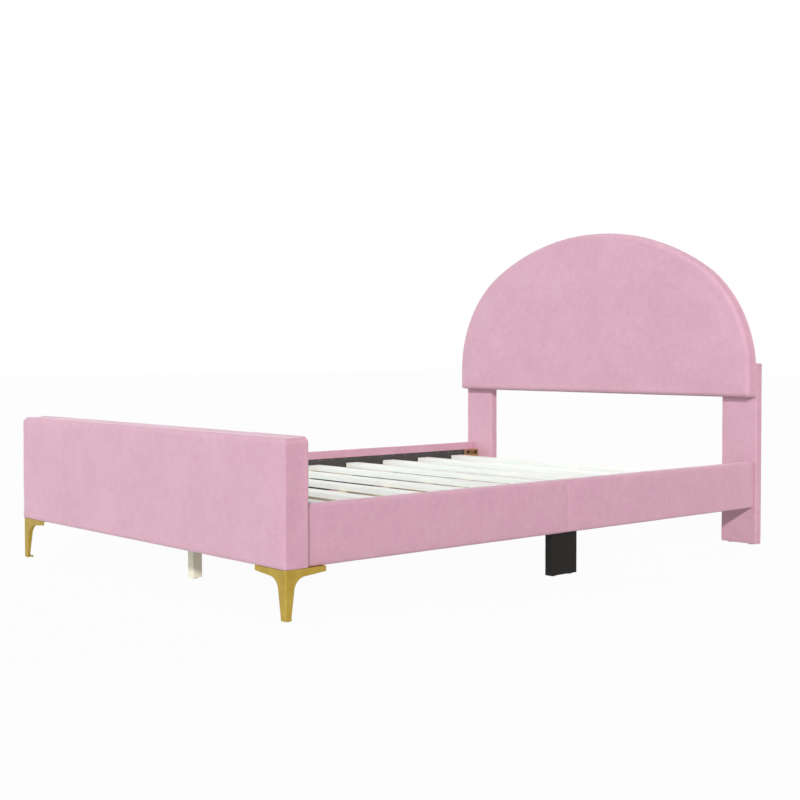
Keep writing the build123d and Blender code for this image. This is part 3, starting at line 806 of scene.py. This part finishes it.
def post_piece(side):
    low, high = box_of(f"{side}_post_cover")
    low[Z_AXIS] -= POST_FOOT_DROP
    bolts = bolt_places(low, high)
    axes = []
    for axis in range(3):
        extra = []
        if axis != Y_AXIS:
            for bolt in sorted({round(float(b[axis]), 5) for b in bolts}):
                extra += [bolt + offset for offset in DIMPLE_LINES]
        low_edge = POST_FOOT_EDGE if axis == Z_AXIS else POST_EDGE
        axes.append(places(low[axis], high[axis], low_edge, POST_EDGE, extra))
    points, faces = shell(axes)

    def radii(upper):
        r = np.full(points.shape, POST_EDGE)
        r[~upper[:, Z_AXIS], Z_AXIS] = POST_FOOT_EDGE
        return r

    points, facing = rounded(points, low, high, radii)
    calm = eased(points[:, Z_AXIS], 0.0, POST_CALM_HEIGHT)[:, None]
    points = ripple(points, facing * calm, *POST_RIPPLE, POST_SEEDS[side])
    back = facing[:, Y_AXIS] > BACK_FACING
    for bolt in bolts:
        away = np.hypot(points[:, X_AXIS] - bolt[X_AXIS], points[:, Z_AXIS] - bolt[Z_AXIS])
        depth = DIMPLE_DEPTH * (1 - eased(away, *DIMPLE_EDGE))
        depth += HOLLOW_DEPTH * (1 - eased(away, *HOLLOW_EDGE))
        points[:, Y_AXIS] -= np.where(back, depth, 0.0)
    piece = make_piece(f"{side}_post_velvet", points, faces, velvet, "velvet", f"{side}_post_cover")


for side in ("left", "right"):
    post_piece(side)


# Footboard
def footboard_piece():
    low, high = box_of("footboard_cover")
    lining_low = np.array([
        low[X_AXIS] + FOOTBOARD_WRAPS["side"],
        high[Y_AXIS],
        low[Z_AXIS] + FOOTBOARD_WRAPS["bottom"],
    ])
    lining_high = np.array([
        high[X_AXIS] - FOOTBOARD_WRAPS["side"],
        high[Y_AXIS],
        high[Z_AXIS] - FOOTBOARD_WRAPS["top"],
    ])
    corner_lines = [FOOTBOARD_CORNER * share for share in FOOTBOARD_CORNER_SHARES]
    axes = []
    for axis in range(3):
        low_edge = high_edge = FOOTBOARD_EDGES[axis]
        if axis == Y_AXIS:
            low_edge += FOOTBOARD_ROLL[0]
        if axis == Z_AXIS:
            low_edge = FOOTBOARD_BOTTOM_EDGE
            high_edge += FOOTBOARD_ROLL[1]
        extra = []
        if axis != Y_AXIS:
            extra += wrap_lines(lining_low[axis], lining_high[axis])
            extra += [high[axis] - line for line in corner_lines]
        if axis == X_AXIS:
            extra += [low[axis] + line for line in corner_lines]
        axes.append(places(low[axis], high[axis], low_edge, high_edge, extra))
    points, faces = shell(axes)

    def radii(upper):
        """The padding rolls wider over the front of the top."""
        r = np.tile(np.array(FOOTBOARD_EDGES), (len(points), 1))
        near_top = eased(points[:, Z_AXIS], *(high[Z_AXIS] - under for under in ROLL_UNDER_TOP))
        fading = (low[Y_AXIS] + ROLL_BEHIND_FRONT, high[Y_AXIS] - ROLL_BEFORE_BACK)
        near_front = 1 - eased(points[:, Y_AXIS], *fading)
        r[:, Y_AXIS] += FOOTBOARD_ROLL[0] * near_top * ~upper[:, Y_AXIS]
        r[:, Z_AXIS] += FOOTBOARD_ROLL[1] * near_front
        r[~upper[:, Z_AXIS], Z_AXIS] = FOOTBOARD_BOTTOM_EDGE
        return r

    points, _ = rounded(points, low, high, radii)
    draw_in_corners(points, low, high, FOOTBOARD_CORNER)
    inside = points[:, Y_AXIS] > high[Y_AXIS] - SAME
    for axis in (X_AXIS, Z_AXIS):
        inside &= points[:, axis] > lining_low[axis] + SAME
        inside &= points[:, axis] < lining_high[axis] - SAME
    points[inside, Y_AXIS] -= RECESS
    piece = make_piece(
        "footboard_velvet", points, faces, velvet, "velvet", "footboard_cover", "footboard_foam"
    )
    held = points[:, Y_AXIS] > high[Y_AXIS] - FOOTBOARD_HELD["back"]
    held |= points[:, Z_AXIS] < low[Z_AXIS] + FOOTBOARD_HELD["bottom"]
    puffed.append((piece, np.flatnonzero(held), FOOTBOARD_REACH))
    return lining_low, lining_high


def flat_sheet(name, low, high, axis, out, replaced, step, sag=0.0):
    """Lining stretched over a rectangle square to an axis. It may give a little in waves along X."""
    u, v = [a for a in range(3) if a != axis]
    sizes = FLAT_LINING
    gap = sizes["gap"]
    us = np.linspace(low[u] + gap, high[u] - gap, max(2, round((high[u] - low[u]) / step)) + 1)
    vs = np.linspace(low[v] + gap, high[v] - gap, max(2, round((high[v] - low[v]) / step)) + 1)
    points = np.zeros((len(us) * len(vs), 3))
    points[:, u] = np.repeat(us, len(vs))
    points[:, v] = np.tile(vs, len(us))
    edge = np.minimum.reduce([
        points[:, u] - us[0], us[-1] - points[:, u], points[:, v] - vs[0], vs[-1] - points[:, v]
    ])
    free = eased(edge, *SAG_MARGIN)
    lift = np.array([noise.noise(Vector(p) * sizes["scale"]) for p in points])
    waves = np.sin(points[:, X_AXIS] * SAG_WAVES[0] + SAG_WAVES[1]) ** 2
    points[:, axis] = low[axis] + out * (sizes["uneven"] * lift - sizes["depth"] - free * sag * waves)
    faces = []
    for i in range(len(us) - 1):
        for j in range(len(vs) - 1):
            a = i * len(vs) + j
            faces.append((a, a + len(vs), a + len(vs) + 1, a + 1))
    piece = make_piece(name, points, faces, lining, "lining", replaced)
    solid = piece.modifiers.new("thickness", "SOLIDIFY")
    solid.thickness = sizes["thickness"]
    solid.offset = 0


def edge_seats(low, high, axis, out, pitch):
    """Seats of the staples round a rectangular lining."""
    u, v = [a for a in range(3) if a != axis]
    seats = []
    for along, other in ((u, v), (v, u)):
        start = low[along] + STAPLE_ROW_END
        length = high[along] - STAPLE_ROW_END - start
        count = max(2, round(length / pitch))
        for line in (low[other] + FLAT_STAPLE_MARGIN, high[other] - FLAT_STAPLE_MARGIN):
            for i in range(count + 1):
                seat = [0.0, 0.0, 0.0]
                seat[axis] = low[axis] - out * STAPLE_SEAT
                seat[other] = line
                seat[along] = start + length * i / count
                way = [0.0, 0.0, 0.0]
                way[along] = 1.0
                normal = [0.0, 0.0, 0.0]
                normal[axis] = out
                seats.append((seat, way, normal))
    return seats


def footboard_lining():
    low, high = footboard_piece()
    flat_sheet(
        "footboard_lining_sheet", low, high, Y_AXIS, 1,
        "footboard_lining", step=0.015, sag=FOOTBOARD_SAG,
    )
    staples("footboard_staples", edge_seats(low, high, Y_AXIS, 1, pitch=0.055))


footboard_lining()


# Side rails
def rail_piece(side, half):
    low, high = box_of(f"{side}_{half}_rail_cover")
    right = side == "right"
    lining_z = (low[Z_AXIS] + RAIL_WRAPS["bottom"], high[Z_AXIS] - RAIL_WRAPS["top"])
    end_edges = (RAIL_END_EDGE, RAIL_JOINT_EDGE) if half == "foot" else (RAIL_JOINT_EDGE, RAIL_END_EDGE)
    edges = {
        X_AXIS: (RAIL_INNER_EDGE, RAIL_OUTER_EDGE) if right else (RAIL_OUTER_EDGE, RAIL_INNER_EDGE),
        Y_AXIS: end_edges,
        Z_AXIS: (RAIL_OUTER_EDGE, RAIL_OUTER_EDGE),
    }
    axes = []
    for axis in range(3):
        extra = wrap_lines(*lining_z) if axis == Z_AXIS else ()
        axes.append(places(low[axis], high[axis], *edges[axis], extra))
    points, faces = shell(axes)

    def radii(upper):
        r = np.empty(points.shape)
        outer = upper[:, X_AXIS] if right else ~upper[:, X_AXIS]
        r[:, X_AXIS] = np.where(outer, RAIL_OUTER_EDGE, RAIL_INNER_EDGE)
        r[:, Y_AXIS] = np.where(upper[:, Y_AXIS], end_edges[1], end_edges[0])
        r[:, Z_AXIS] = np.where(outer, RAIL_OUTER_EDGE, RAIL_INNER_EDGE)
        return r

    points, _ = rounded(points, low, high, radii)
    face_x = low[X_AXIS] if right else high[X_AXIS]
    out = -1 if right else 1
    inside = np.abs(points[:, X_AXIS] - face_x) < SAME
    inside &= points[:, Z_AXIS] > lining_z[0] + SAME
    inside &= points[:, Z_AXIS] < lining_z[1] - SAME
    points[inside, X_AXIS] -= out * RECESS
    piece = make_piece(
        f"{side}_{half}_rail_velvet", points, faces, velvet, "velvet",
        f"{side}_{half}_rail_cover", f"{side}_rail_foam",
    )
    held = np.abs(points[:, X_AXIS] - face_x) < RAIL_HELD["inner"]
    held |= points[:, Z_AXIS] < low[Z_AXIS] + RAIL_HELD["bottom"]
    held |= points[:, Y_AXIS] < low[Y_AXIS] + RAIL_HELD["end"]
    held |= points[:, Y_AXIS] > high[Y_AXIS] - RAIL_HELD["end"]
    puffed.append((piece, np.flatnonzero(held), RAIL_REACH))
    lining_low = np.array([face_x, low[Y_AXIS], lining_z[0]])
    lining_high = np.array([face_x, high[Y_AXIS], lining_z[1]])
    flat_sheet(
        f"{side}_{half}_rail_lining_sheet", lining_low, lining_high, X_AXIS, out,
        "rail_linings", step=0.02,
    )
    staples(
        f"{side}_{half}_rail_staples", edge_seats(lining_low, lining_high, X_AXIS, out, pitch=0.06)
    )


for side in ("left", "right"):
    for half in ("foot", "head"):
        rail_piece(side, half)


# Padding under the cloth
def relaxed(mesh, rest, moved, held, rounds=60):
    """The movement evened out between neighbours, so that the cloth has no creases of the mesh's own."""
    ends = np.empty(len(mesh.edges) * 2, dtype=np.int64)
    mesh.edges.foreach_get("vertices", ends)
    start, end = ends[0::2], ends[1::2]
    near = np.concatenate([start, end])
    far = np.concatenate([end, start])
    pull = 1 / np.maximum(np.linalg.norm(rest[near] - rest[far], axis=1), 1e-5)
    whole = np.bincount(near, weights=pull, minlength=len(moved))
    for _ in range(rounds):
        total = [
            np.bincount(near, weights=moved[far, axis] * pull, minlength=len(moved)) for axis in range(3)
        ]
        moved = np.stack(total, axis=1) / whole[:, None]
        moved[held] = 0.0
    return moved


def press_out(pieces):
    """Lets the padding press each cover outwards, its fastened edges held, and keeps the result."""
    scene = bpy.context.scene
    started = []
    for piece, held, reach in pieces:
        group = piece.vertex_groups.new(name="held")
        group.add([int(i) for i in held], 1.0, "REPLACE")
        cloth = piece.modifiers.new("padding", "CLOTH")
        settings = cloth.settings
        settings.quality = 5
        settings.mass = 0.4
        settings.tension_stiffness = 25
        settings.compression_stiffness = 25
        settings.shear_stiffness = 8
        settings.bending_stiffness = 2.0
        settings.use_pressure = True
        settings.uniform_pressure_force = SIM_PRESSURE
        settings.vertex_group_mass = "held"
        settings.effector_weights.gravity = 0
        cloth.collision_settings.use_collision = False
        cloth.point_cache.frame_start = 1
        cloth.point_cache.frame_end = SIM_FRAMES
        started.append((piece, vertex_places(piece.data), held, reach))
    for step in range(1, SIM_FRAMES + 1):
        scene.frame_set(step)
    graph = bpy.context.evaluated_depsgraph_get()
    for piece, rest, held, reach in started:
        now = vertex_places(piece.evaluated_get(graph).data)
        moved = relaxed(piece.data, rest, now - rest, held)
        far = np.linalg.norm(moved, axis=1)[:, None]
        kept = rest + moved * np.tanh(far / reach) * reach / np.maximum(far, 1e-9)
        piece.modifiers.remove(piece.modifiers["padding"])
        piece.vertex_groups.clear()
        piece.data.vertices.foreach_set("co", kept.ravel())
        piece.data.update()
    scene.frame_set(1)


press_out(puffed)


def uneven(piece, depth, scale, seed):
    """Slight unevenness of the padding, along the way that each point faces."""
    mesh = piece.data
    facing = np.empty(len(mesh.vertices) * 3)
    mesh.vertex_normals.foreach_get("vector", facing)
    points = ripple(vertex_places(mesh), facing.reshape(-1, 3), depth, scale, seed)
    mesh.vertices.foreach_set("co", points.ravel())
    mesh.update()


for number, (piece, _, _) in enumerate(puffed):
    uneven(piece, *COVER_RIPPLE, COVER_SEED + number)
    smooth = piece.modifiers.new("smooth", "SUBSURF")
    smooth.levels = 1
    smooth.render_levels = 1


# Floor, light and camera
def seen_or_mirrored(tree):
    """One where the camera looks straight, into a reflection or through glass, and otherwise nothing."""
    path = tree.nodes.new("ShaderNodeLightPath")
    total = path.outputs["Is Camera Ray"]
    for output in ("Is Glossy Ray", "Is Transmission Ray"):
        join = tree.nodes.new("ShaderNodeMath")
        join.operation = "MAXIMUM"
        tree.links.new(total, join.inputs[0])
        tree.links.new(path.outputs[output], join.inputs[1])
        total = join.outputs[0]
    return total


def white_to_the_eye(name, colour, share):
    """Seen directly or in a reflection it is white, and it lights the bed as a plain surface."""
    material = bpy.data.materials.new(name)
    material.use_nodes = True
    tree = material.node_tree
    shader = tree.nodes["Principled BSDF"]
    shader.inputs["Base Color"].default_value = colour
    shader.inputs["Roughness"].default_value = 0.9
    white = tree.nodes.new("ShaderNodeEmission")
    white.inputs["Strength"].default_value = 1.0
    part = tree.nodes.new("ShaderNodeMath")
    part.operation = "MULTIPLY"
    part.inputs[1].default_value = share
    tree.links.new(seen_or_mirrored(tree), part.inputs[0])
    mix = tree.nodes.new("ShaderNodeMixShader")
    tree.links.new(part.outputs[0], mix.inputs["Fac"])
    tree.links.new(shader.outputs["BSDF"], mix.inputs[1])
    tree.links.new(white.outputs["Emission"], mix.inputs[2])
    tree.links.new(mix.outputs["Shader"], tree.nodes["Material Output"].inputs["Surface"])
    return material


def floor():
    size = FLOOR_REACH
    mesh = bpy.data.meshes.new("floor")
    corners = [(-size, -size, 0), (size, -size, 0), (size, size, 0), (-size, size, 0)]
    mesh.from_pydata(corners, [], [(0, 1, 2, 3)])
    mesh.materials.append(white_to_the_eye("floor_white", grey(FLOOR_GREY), FLOOR_WHITE_SHARE))
    ground = bpy.data.objects.new("floor", mesh)
    bpy.context.scene.collection.objects.link(ground)


floor()


def studio_world():
    """White to the eye, and even light from all round for the bed."""
    world = bpy.data.worlds.new("studio")
    world.use_nodes = True
    tree = world.node_tree
    tree.nodes.clear()
    seen = tree.nodes.new("ShaderNodeBackground")
    seen.inputs["Color"].default_value = grey(1.0)
    seen.inputs["Strength"].default_value = 1.0
    lighting = tree.nodes.new("ShaderNodeBackground")
    lighting.inputs["Color"].default_value = (0.97, 0.98, 1.0, 1.0)
    lighting.inputs["Strength"].default_value = AMBIENT
    mix = tree.nodes.new("ShaderNodeMixShader")
    output = tree.nodes.new("ShaderNodeOutputWorld")
    tree.links.new(seen_or_mirrored(tree), mix.inputs["Fac"])
    tree.links.new(lighting.outputs[0], mix.inputs[1])
    tree.links.new(seen.outputs[0], mix.inputs[2])
    tree.links.new(mix.outputs[0], output.inputs["Surface"])
    bpy.context.scene.world = world


studio_world()


def lamp(name, direction, strength, softness, colour):
    """Even light from far away, from a direction, with shadows as soft as a large softbox's."""
    light = bpy.data.lights.new(name, "SUN")
    light.energy = strength
    light.color = colour
    light.angle = math.radians(softness)
    holder = bpy.data.objects.new(name, light)
    holder.rotation_euler = Vector(direction).to_track_quat("Z", "Y").to_euler()
    bpy.context.scene.collection.objects.link(holder)


for name, settings in LAMPS.items():
    lamp(name, *settings)


def place_camera():
    data = bpy.data.cameras.new("camera")
    data.sensor_width = 36.0
    data.lens = CAMERA_LENS
    data.shift_x, data.shift_y = CAMERA_SHIFT
    data.clip_end = 100.0
    camera = bpy.data.objects.new("camera", data)
    camera.location = CAMERA_PLACE
    camera.rotation_euler = (math.radians(90 - CAMERA_DOWN), 0.0, math.radians(CAMERA_TURN))
    bpy.context.scene.collection.objects.link(camera)
    bpy.context.scene.camera = camera


place_camera()
bpy.context.scene.view_settings.view_transform = "Standard"

bpy.context.view_layer.update()
